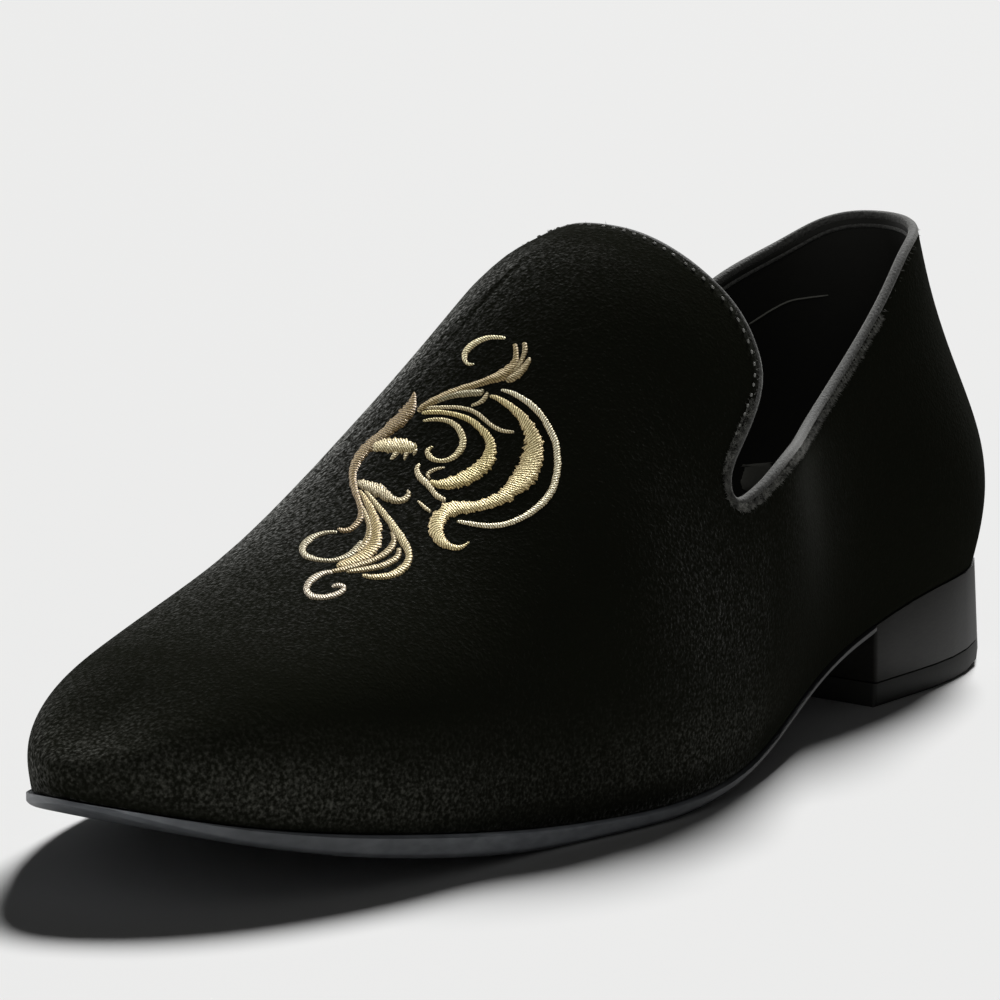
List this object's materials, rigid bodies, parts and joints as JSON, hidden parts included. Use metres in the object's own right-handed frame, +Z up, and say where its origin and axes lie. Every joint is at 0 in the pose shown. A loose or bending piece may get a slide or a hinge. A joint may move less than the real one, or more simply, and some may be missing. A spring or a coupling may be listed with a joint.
{
  "type": "velvet slipper loafer",
  "caption": "Left velvet slipper loafer with a pointed toe, a rounded tongue edge, taped topline, thin sole and low block heel.",
  "frame": {"origin": "middle of the shoe's outline on the floor", "axes": "+Z up, toe toward -Y, outer side of the foot toward +X"},
  "size_m": [0.0952, 0.2982, 0.1055],
  "materials": {
    "velvet": "black cotton velvet with a short pile and gold thread embroidery on the vamp",
    "tape": "dark grey ribbed binding tape",
    "sole_rubber": "smooth grey-black sole edge, satin",
    "heel_stack": "matte heel block",
    "lift_rubber": "matte tread",
    "sock": "soft black sock lining"
  },
  "bodies": {
    "root": {"upper": "velvet", "collar_binding": "tape", "outsole": "sole_rubber", "heel": "heel_stack", "heel_lift": "lift_rubber", "insole": "sock"}
  },
  "joints": []
}
